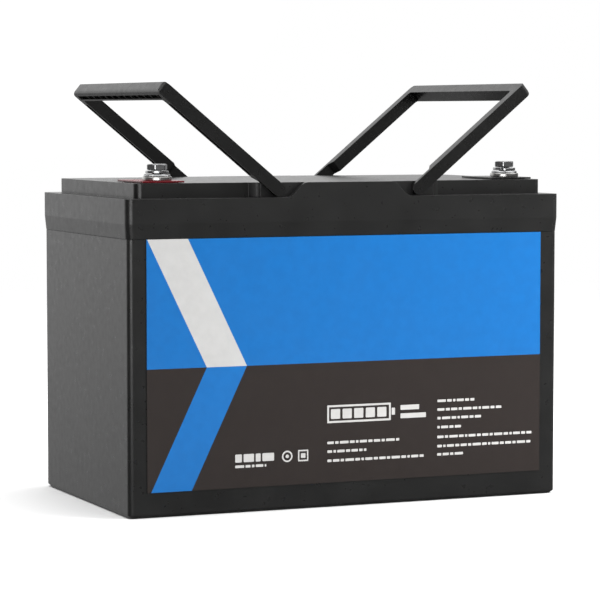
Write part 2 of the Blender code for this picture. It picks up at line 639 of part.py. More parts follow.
def make_tray(board_plastic):
    tray_top = TRAY_LOW + TRAY_THICK
    sheet = block_mesh("bms_tray", (-TRAY_X, -TRAY_Y, TRAY_LOW), (TRAY_X, TRAY_Y, tray_top), 4.0, 2)
    tray = place("bms_tray", sheet, board_plastic)
    for x in (-cell_x(4), cell_x(4)):
        for y in (-LEG_Y, 0.0, LEG_Y):
            leg = round_mesh("tray_leg", LEG_RADIUS, CELL_TOP + GAP, TRAY_LOW + 1, 12)
            join(tray, place("tray_leg", leg, at=(x, y, 0.0)))
    for x in (-SCREW_X, SCREW_X):
        for y in (-SCREW_Y, SCREW_Y):
            post = round_mesh("tray_post", SPACER_RADIUS, TRAY_LOW + 1, BOARD_LOW - GAP, 14)
            join(tray, place("tray_post", post, at=(x, y, 0.0)))
            bore = round_mesh("tray_bore", SCREW_RADIUS + GAP, tray_top + 1, BOARD_LOW + 2, 10)
            cut(tray, place("tray_bore", bore, at=(x, y, 0.0)))
    return smooth(tray)


def make_board(board_green, alloy, brass, steel):
    top = BOARD_LOW + BOARD_THICK
    slab = block_mesh("bms_board", (-BOARD_X, -BOARD_Y, BOARD_LOW), (BOARD_X, BOARD_Y, top), 1.5, 2)
    board = place("bms_board", slab, board_green)
    number = 0
    for x in (-SCREW_X, SCREW_X):
        for y in (-SCREW_Y, SCREW_Y):
            number += 1
            hole = round_mesh("board_hole", SCREW_RADIUS + GAP, BOARD_LOW - 2, top + 2, 10)
            cut(board, place("board_hole", hole, at=(x, y, 0.0)))
            shank = round_mesh("screw", SCREW_RADIUS, BOARD_LOW - SCREW_REACH, top + 1, 10)
            screw = place(f"bms_screw_{number}", shank, steel, at=(x, y, 0.0))
            head = round_mesh("screw_head", SCREW_HEAD, top + GAP, top + GAP + SCREW_HEAD_THICK, 14,
                              top_radius=SCREW_HEAD - 0.6)
            join(screw, place("screw_head", head, at=(x, y, 0.0)))
            smooth(screw)

    sink_low = top + GAP
    sink = place("bms_heatsink", outline_mesh("bms_heatsink", heatsink_outline(), SINK_LENGTH), alloy,
                 at=(SINK_X, 0.0, sink_low), turn=(90.0, 0.0, 90.0))
    sink.data.shade_flat()
    block = block_mesh("bms_terminal_block", (BLOCK_X[0], -SINK_WIDTH / 2, sink_low),
                       (BLOCK_X[1], SINK_WIDTH / 2, sink_low + BLOCK_HEIGHT), 0.8, 2)
    place("bms_terminal_block", block, brass)


def heatsink_outline():
    """End view of the finned heat sink: a base with a row of tapered fins."""
    pitch = SINK_WIDTH / SINK_FINS
    outline = [(-SINK_WIDTH / 2, 0.0), (SINK_WIDTH / 2, 0.0)]
    for index in reversed(range(SINK_FINS)):
        left = -SINK_WIDTH / 2 + index * pitch + (pitch - FIN_THICK) / 2
        right = left + FIN_THICK
        outline += [(right + FIN_FLARE, SINK_BASE), (right, SINK_HEIGHT), (left, SINK_HEIGHT),
                    (left - FIN_FLARE, SINK_BASE)]
    return outline


def make_lead(name, ends, radius, rubber):
    """A cable on one smooth curve between two ends; each end is a point and the handle it leaves along."""
    curve = bpy.data.curves.new(name, "CURVE")
    curve.dimensions = "3D"
    curve.bevel_depth = radius * MM
    curve.bevel_resolution = 2
    curve.use_fill_caps = True
    spline = curve.splines.new("POLY")
    (start, leave), (end, arrive) = ends
    controls = [Vector(start), Vector(start) + Vector(leave), Vector(end) + Vector(arrive), Vector(end)]
    spline.points.add(LEAD_STEPS)
    for index, point in enumerate(spline.points):
        t = index / LEAD_STEPS
        weights = ((1 - t) ** 3, 3 * t * (1 - t) ** 2, 3 * t * t * (1 - t), t ** 3)
        spot = sum((weight * control for weight, control in zip(weights, controls)), Vector())
        point.co = (*(spot * MM), 1.0)
    smooth(place(name, curve_to_mesh(name, curve), rubber))


def make_leads(red, black, wire, copper):
    barrel_z = BAR_LOW + BARREL_RADIUS
    near = cell_x(4)
    cell_radii = (STUD_RADIUS + GAP, CELL_LUG_RADIUS)
    make_lug("cell_lug_positive", cell_radii, BAR_LOW, copper, (-near, -STUD_Y, 0.0), 180.0)
    make_lug("cell_lug_negative", cell_radii, BAR_LOW, copper, (near, -STUD_Y, 0.0), 0.0)
    cell_end = near + barrel_start(CELL_LUG_RADIUS, False) + BARREL_LENGTH + LEAD_GAP
    post_end_y = POST_Y + barrel_start(POST_LUG_RADIUS, True) + BARREL_LENGTH + LEAD_GAP
    post_z = DECK_Z - PLATE - GAP - BARREL_RADIUS
    block_face = BLOCK_X[1] + LEAD_GAP
    make_lead("positive_lead", (((-cell_end, -STUD_Y, barrel_z), (-40.0, 0.0, 0.0)),
                                ((-POST_X, post_end_y, post_z), (0.0, 42.0, 0.0))), LEAD_RADIUS, red)
    make_lead("cell_negative_lead", (((cell_end, -STUD_Y, barrel_z), (38.0, 0.0, 0.0)),
                                     ((block_face, -18.0, BLOCK_Z), (52.0, 0.0, 0.0))), LEAD_RADIUS, black)
    make_lead("negative_lead", (((block_face, 24.0, BLOCK_Z), (60.0, 0.0, 0.0)),
                                ((POST_X, post_end_y, post_z), (0.0, 45.0, 0.0))), LEAD_RADIUS, black)
    make_lead("balance_harness", (((-BOARD_X - LEAD_GAP, 12.0, BOARD_LOW + 1.0), (-50.0, 0.0, 0.0)),
                                  ((-60.0, 22.0, CELL_TOP + 3.0), (-60.0, 0.0, 2.0))), LOOM_RADIUS, wire)


# ---------------------------------------------------------------- whole battery

def build():
    clear_scene()
    shell = material("case_black", (0.021, 0.021, 0.022), 0.42)
    grip = material("handle_black", (0.018, 0.018, 0.019), 0.38)
    rubber = material("seal_rubber", (0.03, 0.03, 0.03), 0.8)
    red_pad = material("pad_red", (0.42, 0.012, 0.02), 0.35)
    black_pad = material("pad_black", (0.015, 0.015, 0.016), 0.35)
    brass = material("tinned_brass", (0.62, 0.62, 0.60), 0.3, 1.0)
    steel = material("zinc_steel", (0.66, 0.66, 0.67), 0.25, 1.0)
    copper = material("copper", (0.78, 0.38, 0.24), 0.3, 1.0)
    film = material("label_film", (0.04, 0.2, 0.55), 0.3)
    wrap = material("cell_wrap", (0.05, 0.16, 0.42), 0.35)
    sheet = material("insulating_sheet", (0.5, 0.5, 0.46), 0.6)
    board = material("epoxy_board", (0.42, 0.45, 0.2), 0.5)
    foam = material("foam", (0.06, 0.06, 0.06), 0.9)
    strap = material("strap_plastic", (0.1, 0.35, 0.15), 0.45)
    green = material("circuit_board", (0.02, 0.16, 0.06), 0.4)
    alloy = material("heatsink_alloy", (0.55, 0.56, 0.57), 0.4, 1.0)
    red_wire = material("red_cable", (0.5, 0.02, 0.02), 0.5)
    black_wire = material("black_cable", (0.02, 0.02, 0.02), 0.5)

    make_case(shell)
    make_cover(shell)
    make_seal(rubber)
    make_handles(grip)
    make_terminal(-1, "positive", red_pad, brass, steel, copper)
    make_terminal(1, "negative", black_pad, brass, steel, copper)
    make_label(film)
    make_cells(wrap, sheet)
    make_busbars(copper, steel)
    make_pack_frame(board, foam, strap)
    make_tray(sheet)
    make_board(green, alloy, brass, steel)
    make_leads(red_wire, black_wire, black_wire, copper)


build()
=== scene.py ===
import json
import math

import bmesh
import bpy
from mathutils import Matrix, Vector
from mathutils.geometry import intersect_point_line


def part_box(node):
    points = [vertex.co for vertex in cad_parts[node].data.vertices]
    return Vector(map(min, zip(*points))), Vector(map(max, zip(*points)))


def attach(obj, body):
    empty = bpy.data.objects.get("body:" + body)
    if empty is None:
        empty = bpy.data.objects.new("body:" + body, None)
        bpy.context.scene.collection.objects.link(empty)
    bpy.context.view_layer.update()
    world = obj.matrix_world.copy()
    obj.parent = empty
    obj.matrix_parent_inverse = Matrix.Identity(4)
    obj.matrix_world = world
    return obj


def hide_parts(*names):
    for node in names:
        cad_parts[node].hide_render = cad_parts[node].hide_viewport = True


# The looks of a 12 V deep cycle battery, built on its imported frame.
# Lengths are metres unless a name ends in _MM.

MM = 0.001
WELD = 1e-5

# Camera, at the photograph's angle
CAMERA_AT = (-0.71482, -1.67006, 0.25679)
CAMERA_YAW, CAMERA_PITCH = -23.208, -4.016
CAMERA_LENS, SENSOR = 160.88, 36.0

FLOOR_RADIUS, FADE_FROM = 2.4, 0.5      # the floor fades out into the white backdrop
FLOOR_COLOUR = (0.84, 0.84, 0.84)

# Brightness of the studio's walls, and the shares left low down and far to the right
WALL_BACK, WALL_RIGHT, WALL_FRONT = 1.10, 0.30, 0.11
FOOT_SHARE, FAR_RIGHT_SHARE = 0.30, 0.45

# Moulded edges
CREASE_ANGLE = 35.0          # edges sharper than this are rounded
RIM_CREASE_Z = 0.1862        # where the cover's sloping skirt meets its upright rim
CREASE_BAND = 0.0001

# Weld seam between case and cover
SEAM_GAP = 0.0003
SEAM_INSET, SEAM_DEPTH = 0.00012, 0.0012
SEAM_CORNER = 0.0033

# Terminal hardware
HEAD_MM, HEAD_FLATS_MM = 3.9, 12.0
HEAD_SPIN = -2.0             # direction of one of the head's corners
HEAD_CORNER_MM = 1.3         # their rounding
THREAD_PITCH_MM, THREAD_DEPTH_MM = 1.25, 0.55
WASHER_BORE_MM = 4.3
WASHER_CHAMFER_MM = 0.4
SPRING_RADIUS_MM = 7.5
WASHER_RISE_MM = 0.5         # how far the spring washer's ends stand apart
SPLIT_ANGLE = 11.0
CONE_SHARES = (0.0, 0.2, 0.4, 0.6, 0.8, 1.0)

# Label
LABEL_SPLIT_Z = 0.0945       # blue above, black below
STRIPE_WIDTH = 0.0275
STRIPE_TOP_X, STRIPE_BEND_X, STRIPE_FOOT_X = -0.1398, -0.0997, -0.1377
INK_LIFT = 0.00004
WORD_LENGTHS_MM = (4.6, 2.4, 6.2, 3.4, 1.8, 5.2, 3.0)
WORD_GAP_MM = 0.95
LINE_HEIGHT_MM = 1.7
# Rows of small print as (left, right, middle height), in millimetres
SMALL_ROWS = (
    (-15.9, 35.8, 42.0), (-15.9, 12.0, 36.3), (-15.9, 54.9, 30.3),
    (63.6, 90.9, 66.1), (63.6, 111.1, 60.3), (63.6, 96.9, 54.6), (63.6, 81.3, 48.6),
    (63.6, 133.9, 42.1), (63.6, 133.2, 36.0), (63.6, 82.9, 30.5),
    (-80.4, -58.9, 29.7),
)

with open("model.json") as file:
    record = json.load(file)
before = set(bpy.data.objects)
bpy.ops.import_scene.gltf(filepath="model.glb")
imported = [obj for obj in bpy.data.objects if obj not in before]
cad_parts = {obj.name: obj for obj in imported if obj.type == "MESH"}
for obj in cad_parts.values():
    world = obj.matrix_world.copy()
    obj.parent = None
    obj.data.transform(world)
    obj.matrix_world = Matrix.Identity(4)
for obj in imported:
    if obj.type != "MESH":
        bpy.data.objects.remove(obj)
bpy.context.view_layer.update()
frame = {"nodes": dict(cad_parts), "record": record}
record = frame["record"]
slot_of = {part["node"]: part["material_slot"] for part in record["subparts"]}
body_of = {node: body for body, nodes in record["behaviour"]["bodies"].items() for node in nodes}


# ---------------------------------------------------------------- materials

def new_material(name, colour, roughness, metallic=0.0, **extra):
    """A Principled material and its node tree; `extra` sets other sockets, with _ for a space."""
    mat = bpy.data.materials.new(name)
    mat.use_nodes = True
    shader = mat.node_tree.nodes["Principled BSDF"]
    shader.inputs["Base Color"].default_value = (*colour, 1.0)
    shader.inputs["Roughness"].default_value = roughness
    shader.inputs["Metallic"].default_value = metallic
    for socket, value in extra.items():
        shader.inputs[socket.replace("_", " ")].default_value = value
    return mat, mat.node_tree, shader


def coordinates(tree, stretch=(1.0, 1.0, 1.0), turn=(0.0, 0.0, 0.0)):
    """The piece's own coordinates in metres, stretched and turned."""
    place = tree.nodes.new("ShaderNodeTexCoord")
    mapping = tree.nodes.new("ShaderNodeMapping")
    mapping.inputs["Scale"].default_value = stretch
    mapping.inputs["Rotation"].default_value = [math.radians(angle) for angle in turn]
    tree.links.new(place.outputs["Object"], mapping.inputs["Vector"])
    return mapping.outputs["Vector"]


def noise(tree, scale, detail=3.0, stretch=(1.0, 1.0, 1.0)):
    node = tree.nodes.new("ShaderNodeTexNoise")
    node.inputs["Scale"].default_value = scale
    node.inputs["Detail"].default_value = detail
    tree.links.new(coordinates(tree, stretch), node.inputs["Vector"])
    return node.outputs["Fac"]


def spread(tree, source, low, high):
    """Maps the middle of a pattern's range onto low to high."""
    node = tree.nodes.new("ShaderNodeMapRange")
    node.inputs["From Min"].default_value = 0.3
    node.inputs["From Max"].default_value = 0.7
    node.inputs["To Min"].default_value = low
    node.inputs["To Max"].default_value = high
    tree.links.new(source, node.inputs["Value"])
    return node.outputs["Result"]


def tint(tree, shader, source, dark, light):
    """Lets a pattern run the base colour between two tones."""
    ramp = tree.nodes.new("ShaderNodeValToRGB")
    ramp.color_ramp.elements[0].position = 0.32
    ramp.color_ramp.elements[0].color = (*dark, 1.0)
    ramp.color_ramp.elements[1].position = 0.68
    ramp.color_ramp.elements[1].color = (*light, 1.0)
    tree.links.new(source, ramp.inputs["Fac"])
    tree.links.new(ramp.outputs["Color"], shader.inputs["Base Color"])


def relief(tree, shader, *layers):
    """Bump from one or more (pattern, height in metres), one on top of the other."""
    below = None
    for source, height in layers:
        bump = tree.nodes.new("ShaderNodeBump")
        bump.inputs["Strength"].default_value = 1.0
        bump.inputs["Distance"].default_value = height
        tree.links.new(source, bump.inputs["Height"])
        if below is not None:
            tree.links.new(below, bump.inputs["Normal"])
        below = bump.outputs["Normal"]
    tree.links.new(below, shader.inputs["Normal"])


def scaled(colour, factor):
    return tuple(channel * factor for channel in colour)


def moulded(name, colour, roughness, grain, wave=4e-5, contrast=0.16, **extra):
    """Moulded plastic: slight tone and gloss variation, a fine grain and a long faint waviness."""
    mat, tree, shader = new_material(name, colour, roughness, **extra)
    cloud = noise(tree, 38.0, 4.0)
    tint(tree, shader, cloud, scaled(colour, 1.0 - contrast), scaled(colour, 1.0 + contrast))
    patches = noise(tree, 210.0, 5.0)
    tree.links.new(spread(tree, patches, roughness - 0.045, roughness + 0.045), shader.inputs["Roughness"])
    relief(tree, shader, (noise(tree, 12.0, 1.0), wave), (noise(tree, 3800.0, 2.0), grain))
    return mat


def metal(name, colour, roughness, stretch=(1.0, 1.0, 1.0), contrast=0.05):
    """Plated or drawn metal: fine tool marks along one way, and cloudy gloss."""
    mat, tree, shader = new_material(name, colour, roughness, metallic=1.0)
    cloud = noise(tree, 320.0, 4.0)
    tint(tree, shader, cloud, scaled(colour, 1.0 - contrast), scaled(colour, 1.0 + contrast))
    marks = noise(tree, 900.0, 4.0, stretch)
    tree.links.new(spread(tree, marks, roughness - 0.04, roughness + 0.04), shader.inputs["Roughness"])
    relief(tree, shader, (marks, 4e-7))
    return mat


def printed(name, colour, roughness=0.34):
    """Printed vinyl film: very even, with a faint orange peel and print mottle."""
    mat, tree, shader = new_material(name, colour, roughness, Specular_IOR_Level=0.35)
    tint(tree, shader, noise(tree, 160.0, 6.0), scaled(colour, 0.965), scaled(colour, 1.035))
    tree.links.new(spread(tree, noise(tree, 60.0, 3.0), roughness - 0.03, roughness + 0.03),
                   shader.inputs["Roughness"])
    relief(tree, shader, (noise(tree, 420.0, 2.0), 1e-6))
    return mat


def fibrous(name, colour, roughness, scale, height, contrast=0.2):
    """Foam, rubber or board with a close cellular structure."""
    mat, tree, shader = new_material(name, colour, roughness)
    cells = tree.nodes.new("ShaderNodeTexVoronoi")
    cells.inputs["Scale"].default_value = scale
    tree.links.new(coordinates(tree), cells.inputs["Vector"])
    tint(tree, shader, noise(tree, scale / 6.0, 4.0),
         scaled(colour, 1.0 - contrast), scaled(colour, 1.0 + contrast))
    tree.links.new(spread(tree, noise(tree, scale, 2.0), roughness - 0.06, roughness + 0.06),
                   shader.inputs["Roughness"])
    relief(tree, shader, (cells.outputs["Distance"], height))
    return mat


def woven(name, colour, roughness, threads, height):
    """Laid or woven sheet: two crossing sets of fine ribs."""
    mat, tree, shader = new_material(name, colour, roughness)
    layers = []
    for direction in ("X", "Y", "Z"):
        ribs = tree.nodes.new("ShaderNodeTexWave")
        ribs.bands_direction = direction
        ribs.inputs["Scale"].default_value = threads
        ribs.inputs["Distortion"].default_value = 0.6
        tree.links.new(coordinates(tree), ribs.inputs["Vector"])
        layers.append((ribs.outputs["Fac"], height))
    tint(tree, shader, noise(tree, threads / 3.0, 4.0), scaled(colour, 0.85), scaled(colour, 1.15))
    tree.links.new(spread(tree, noise(tree, threads, 2.0), roughness - 0.05, roughness + 0.05),
                   shader.inputs["Roughness"])
    relief(tree, shader, *layers)
    return mat


MATERIALS = {
    "case_plastic": moulded("abs_charcoal", (0.0150, 0.0150, 0.0147), 0.31, 9e-7),
    "handle_plastic": moulded("polypropylene_black", (0.0080, 0.0080, 0.0078), 0.30, 9e-7),
    "seal_rubber": fibrous("seal_rubber", (0.025, 0.025, 0.025), 0.8, 900.0, 4e-5),
    "pad_red": moulded("pad_red", (0.17, 0.008, 0.014), 0.27, 1e-6, contrast=0.08),
    "pad_black": moulded("pad_black", (0.012, 0.012, 0.012), 0.30, 1e-6, contrast=0.1),
    "tinned_brass": metal("tinned_brass", (0.56, 0.555, 0.54), 0.27, (1.0, 1.0, 9.0)),
    "zinc_steel": metal("zinc_plated_steel", (0.50, 0.505, 0.51), 0.27, (1.0, 1.0, 6.0)),
    "copper": metal("copper", (0.72, 0.34, 0.20), 0.32, (0.15, 1.0, 1.0), contrast=0.18),
    "label_film": printed("label_blue", (0.0040, 0.135, 0.425)),
    "cell_wrap": moulded("cell_wrap_blue", (0.04, 0.15, 0.42), 0.32, 4e-6, wave=2.5e-4),
    "insulating_sheet": fibrous("insulating_sheet", (0.50, 0.49, 0.44), 0.65, 1500.0, 1.5e-5, contrast=0.08),
    "epoxy_board": woven("glass_epoxy", (0.40, 0.43, 0.19), 0.42, 700.0, 1.2e-5),
    "foam": fibrous("closed_cell_foam", (0.045, 0.045, 0.047), 0.9, 620.0, 1.5e-4),
    "strap_plastic": woven("packing_strap", (0.06, 0.28, 0.10), 0.38, 420.0, 5e-5),
    "circuit_board": moulded("solder_mask_green", (0.012, 0.13, 0.045), 0.28, 6e-6, contrast=0.2),
    "heatsink_alloy": metal("extruded_alloy", (0.56, 0.57, 0.58), 0.34, (0.06, 1.0, 1.0)),
    "red_cable": moulded("silicone_red", (0.42, 0.018, 0.018), 0.48, 8e-6),
    "black_cable": moulded("silicone_black", (0.016, 0.016, 0.016), 0.48, 8e-6),
}
LABEL_BLACK = printed("label_black", (0.0300, 0.0240, 0.0220))
LABEL_WHITE = printed("label_white", (0.50, 0.497, 0.490))
LABEL_STRIPE = printed("label_stripe_blue", (0.0055, 0.140, 0.435))
LABEL_INK = printed("label_ink", (0.54, 0.53, 0.515), 0.4)


# ---------------------------------------------------------------- pieces

def add_piece(name, mesh, node, mats=None, replaces=True):
    """A shown piece that rides with a CAD node, takes its finish and, unless told not to, stands for it."""
    piece = bpy.data.objects.new(name, mesh)
    bpy.context.scene.collection.objects.link(piece)
    for mat in mats or [MATERIALS[slot_of[node]]]:
        mesh.materials.append(mat)
    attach(piece, body_of[node])
    if replaces:
        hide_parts(node)
    return piece


def mesh_from(name, bm, smooth=True):
    bmesh.ops.recalc_face_normals(bm, faces=bm.faces)
    mesh = bpy.data.meshes.new(name)
    bm.to_mesh(mesh)
    bm.free()
    if smooth:
        mesh.shade_smooth()
    return mesh


def flatten_normals(piece):
    """Large faces keep their own flat shading and only the small rounded edges between them blend."""
    weighted = piece.modifiers.new("weighted_normals", "WEIGHTED_NORMAL")
    weighted.mode = "FACE_AREA"
    weighted.weight = 50
    weighted.keep_sharp = True
    return piece


def breadth(face, edge):
    """Distance from the middle of one of a face's edges to the nearest edge that doesn't touch it."""
    middle = (edge.verts[0].co + edge.verts[1].co) / 2
    gaps = []
    for other in face.edges:
        if not set(other.verts) & set(edge.verts):
            start, end = (vert.co for vert in other.verts)
            share = intersect_point_line(middle, start, end)[1]
            gaps.append((start.lerp(end, min(max(share, 0.0), 1.0)) - middle).length)
    return min(gaps, default=math.inf)


def is_crisp(edge, radius):
    """Whether an edge is sharp enough to be rounded, and both its faces are wide enough for the rounding."""
    if not edge.is_manifold:
        return False
    on_rim_crease = all(abs(vert.co.z - RIM_CREASE_Z) < CREASE_BAND for vert in edge.verts)
    if not on_rim_crease and edge.calc_face_angle() < math.radians(CREASE_ANGLE):
        return False
    return all(breadth(face, edge) > 2.0 * radius for face in edge.link_faces)


def rounded_copy(node, name, radius, segments=2):
    """The node's own shape with whole flat faces and its crisp edges rounded."""
    bm = bmesh.new()
    bm.from_mesh(frame["nodes"][node].data)
    bmesh.ops.remove_doubles(bm, verts=bm.verts, dist=WELD)
    bmesh.ops.dissolve_limit(bm, angle_limit=math.radians(0.5), verts=bm.verts, edges=bm.edges)
    crisp = [edge for edge in bm.edges if is_crisp(edge, radius)]
    bmesh.ops.bevel(bm, geom=crisp, offset=radius, offset_type="OFFSET", segments=segments, profile=0.5,
                    clamp_overlap=True, affect="EDGES")
    return flatten_normals(add_piece(name, mesh_from(name, bm), node))


def turned_bmesh(profile, centre, steps=72):
    """A closed profile of (radius, height) in millimetres turned about an upright axis."""
    bm = bmesh.new()
    verts = [bm.verts.new((radius * MM, 0.0, height * MM)) for radius, height in profile]
    edges = [bm.edges.new((verts[i - 1], verts[i])) for i in range(len(verts))]
    bmesh.ops.spin(bm, geom=verts + edges, cent=(0.0, 0.0, 0.0), axis=(0.0, 0.0, 1.0),
                   angle=math.tau, steps=steps, use_merge=True)
    bmesh.ops.remove_doubles(bm, verts=bm.verts, dist=1e-7)
    bmesh.ops.translate(bm, vec=centre, verts=bm.verts)
    return bm


def rounded_band(inner, outer, low, high, soft):
    """Profile of a ring with softened outer corners."""
    return [(inner, low + soft / 2), (inner + soft / 2, low), (outer - soft, low),
            (outer - soft * 0.3, low + soft * 0.3), (outer, low + soft),
            (outer, high - soft), (outer - soft * 0.3, high - soft * 0.3), (outer - soft, high),
            (inner + soft / 2, high), (inner, high - soft / 2)]


def node_middle(node):
    low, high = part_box(node)
    return Vector(((low.x + high.x) / 2, (low.y + high.y) / 2, 0.0)), low.z / MM, high.z / MM


def make_post(sign):
    node = "terminal_post_" + sign
    centre, low, high = node_middle(node)
    flange_low = high - 2.5
    bore, bore_end = 4.25, high - 14.4
    profile = [(0.0, low), (6.4, low), (7.0, low + 0.6), (7.0, flange_low), (9.1, flange_low),
               (9.38, flange_low + 0.12), (9.5, flange_low + 0.4), (9.5, high - 0.55), (9.33, high - 0.17),
               (8.95, high), (bore + 0.35, high), (bore, high - 0.35), (bore, bore_end), (0.0, bore_end - 1.0)]
    bm = turned_bmesh(profile, centre)
    flatten_normals(add_piece("post_" + sign, mesh_from("post_" + sign, bm), node))


def make_flat_washer(sign):
    """A washer with a bevelled upper rim."""
    node = "flat_washer_" + sign
    centre, low, high = node_middle(node)
    outer = (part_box(node)[1].x - centre.x) / MM
    profile = [(WASHER_BORE_MM, low + 0.1), (WASHER_BORE_MM + 0.1, low), (outer - 0.2, low),
               (outer, low + 0.2), (outer, low + 0.4), (outer - WASHER_CHAMFER_MM, high),
               (WASHER_BORE_MM + 0.1, high), (WASHER_BORE_MM, high - 0.1)]
    mesh = mesh_from("washer_" + sign, turned_bmesh(profile, centre))
    flatten_normals(add_piece("washer_" + sign, mesh, node))


def make_spring_washer(sign, side):
    """A split ring that climbs a little from one end to the other, so that its cut ends stand apart."""
    node = "spring_washer_" + sign
    centre, low, high = node_middle(node)
    thick = high - low - WASHER_RISE_MM
    section = rounded_band(WASHER_BORE_MM + 0.1, SPRING_RADIUS_MM, 0.0, thick, 0.3)
    steps = 84
    split = -90.0 - 35.0 * side
    bm = bmesh.new()
    rings = []
    for step in range(steps + 1):
        share = step / steps
        angle = math.radians(split + SPLIT_ANGLE / 2 + (360.0 - SPLIT_ANGLE) * share)
        lift = low + WASHER_RISE_MM * share
        rings.append([bm.verts.new((centre.x + r * MM * math.cos(angle), centre.y + r * MM * math.sin(angle),
                                    (z + lift) * MM)) for r, z in section])
    for ring, following in zip(rings, rings[1:]):
        for i in range(len(section)):
            bm.faces.new((ring[i - 1], ring[i], following[i], following[i - 1]))
    bm.faces.new(rings[0])
    bm.faces.new(list(reversed(rings[-1])))
    mesh = mesh_from("spring_" + sign, bm)
    mesh.set_sharp_from_angle(angle=math.radians(50.0))
    flatten_normals(add_piece("spring_" + sign, mesh, node))


def thread_bmesh(radius, depth, pitch, low, high, centre, around=28, rows_per_turn=7):
    """A threaded rod: one grid whose radius rises and falls along a helix, closed by flat ends."""
    rows = int((high - low) / pitch * rows_per_turn)
    bm = bmesh.new()
    rings = []
    for row in range(rows + 1):
        z = low + (high - low) * row / rows
        run_out = min(1.0, (z - low) / (2.0 * pitch))
        ring = []
        for step in range(around):
            turn = step / around
            phase = (z / pitch - turn) % 1.0
            valley = 1.0 - abs(2.0 * phase - 1.0)
            here = radius - depth * min(1.0, 1.35 * valley) - (1.0 - run_out) * 0.3
            angle = math.tau * turn
            ring.append(bm.verts.new((centre.x + here * MM * math.cos(angle),
                                      centre.y + here * MM * math.sin(angle), z * MM)))
        rings.append(ring)
    for ring, following in zip(rings, rings[1:]):
        for i in range(around):
            bm.faces.new((ring[i - 1], ring[i], following[i], following[i - 1]))
    bm.faces.new(list(reversed(rings[0])))
    bm.faces.new(rings[-1])
    return bm


def hexagon_head(centre, low, high, around=120):
    """A bolt head: six flats whose corners are cut to curves by a cone above and below."""
    apothem = HEAD_FLATS_MM / 2
    corner_centre = (apothem - HEAD_CORNER_MM) / math.cos(math.radians(30.0))
    flat_half = math.degrees(math.atan((apothem - HEAD_CORNER_MM) * math.tan(math.radians(30.0)) / apothem))
    cone = corner_centre + HEAD_CORNER_MM - apothem
    levels = [(low, apothem - 0.45)]
    levels += [(low + 0.12 + 0.5 * share, apothem - 0.12 + (cone + 0.12) * share) for share in CONE_SHARES]
    levels += [(high - 0.12 - 0.5 * share, apothem - 0.12 + (cone + 0.12) * share)
               for share in reversed(CONE_SHARES)]
    levels += [(high, apothem - 0.45)]
    bm = bmesh.new()
    rings = []
    for z, limit in levels:
        ring = []
        for step in range(around):
            turn = 360.0 * step / around
            from_flat = abs(turn % 60.0 - 30.0)
            side = math.radians(30.0 - from_flat)
            if from_flat <= flat_half:
                reach = apothem / math.cos(math.radians(from_flat))
            else:
                reach = (corner_centre * math.cos(side)
                         + math.sqrt(HEAD_CORNER_MM ** 2 - (corner_centre * math.sin(side)) ** 2))
            here = min(reach, limit)
            angle = math.radians(turn + HEAD_SPIN)
            ring.append(bm.verts.new((centre.x + here * MM * math.cos(angle),
                                      centre.y + here * MM * math.sin(angle), z * MM)))
        rings.append(ring)
    for ring, following in zip(rings, rings[1:]):
        for i in range(around):
            bm.faces.new((ring[i - 1], ring[i], following[i], following[i - 1]))
    bm.faces.new(list(reversed(rings[0])))
    bm.faces.new(rings[-1])
    return bm


def make_bolt(sign):
    node = "terminal_bolt_" + sign
    centre, low, high = node_middle(node)
    head_low = high - HEAD_MM
    bm = hexagon_head(centre, head_low, high)
    shank = thread_bmesh(3.98, THREAD_DEPTH_MM, THREAD_PITCH_MM, low, head_low + 0.2, centre)
    spare = bpy.data.meshes.new("bolt_shank")
    shank.to_mesh(spare)
    shank.free()
    bm.from_mesh(spare)
    bpy.data.meshes.remove(spare)
    mesh = mesh_from("bolt_" + sign, bm)
    mesh.set_sharp_from_angle(angle=math.radians(28.0))
    flatten_normals(add_piece("bolt_" + sign, mesh, node))


# ---------------------------------------------------------------- label

def polygon(bm, points, y, mat_index):
    """A flat face across the front, from (x, z) points given clockwise as seen from the front."""
    face = bm.faces.new([bm.verts.new((x, y, z)) for x, z in points])
    face.material_index = mat_index
    return face


def clipped_areas(low, high):
    """The label's printed areas as polygons that share their edges: blue, white band, black, blue band."""
    x0, x1, z0, z1 = low.x, high.x, low.z, high.z
    split = LABEL_SPLIT_Z
    top, top_right = STRIPE_TOP_X, STRIPE_TOP_X + STRIPE_WIDTH
    bend, bend_right = STRIPE_BEND_X, STRIPE_BEND_X + STRIPE_WIDTH
    foot, foot_right = STRIPE_FOOT_X, STRIPE_FOOT_X + STRIPE_WIDTH
    return [
        (0, [(x0, split), (x0, z1), (top, z1), (bend, split)]),
        (1, [(top, z1), (top_right, z1), (bend_right, split), (bend, split)]),
        (0, [(bend_right, split), (top_right, z1), (x1, z1), (x1, split)]),
        (2, [(x0, z0), (x0, split), (bend, split), (foot, z0)]),
        (3, [(foot, z0), (bend, split), (bend_right, split), (foot_right, z0)]),
        (2, [(foot_right, z0), (bend_right, split), (x1, split), (x1, z0)]),
    ]


def make_label():
    node = "label_front"
    low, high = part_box(node)
    bm = bmesh.new()
    for mat_index, points in clipped_areas(low, high):
        polygon(bm, points, low.y, mat_index)
    bmesh.ops.remove_doubles(bm, verts=bm.verts, dist=WELD)
    front = list(bm.faces)
    back = bmesh.ops.extrude_face_region(bm, geom=front)
    moved = [item for item in back["geom"] if isinstance(item, bmesh.types.BMVert)]
    bmesh.ops.translate(bm, vec=(0.0, high.y - low.y, 0.0), verts=moved)
    bm.normal_update()
    mesh = mesh_from("label", bm, smooth=False)
    add_piece("label", mesh, node, [MATERIALS["label_film"], LABEL_WHITE, LABEL_BLACK, LABEL_STRIPE])
    print_label(low.y - INK_LIFT, node)


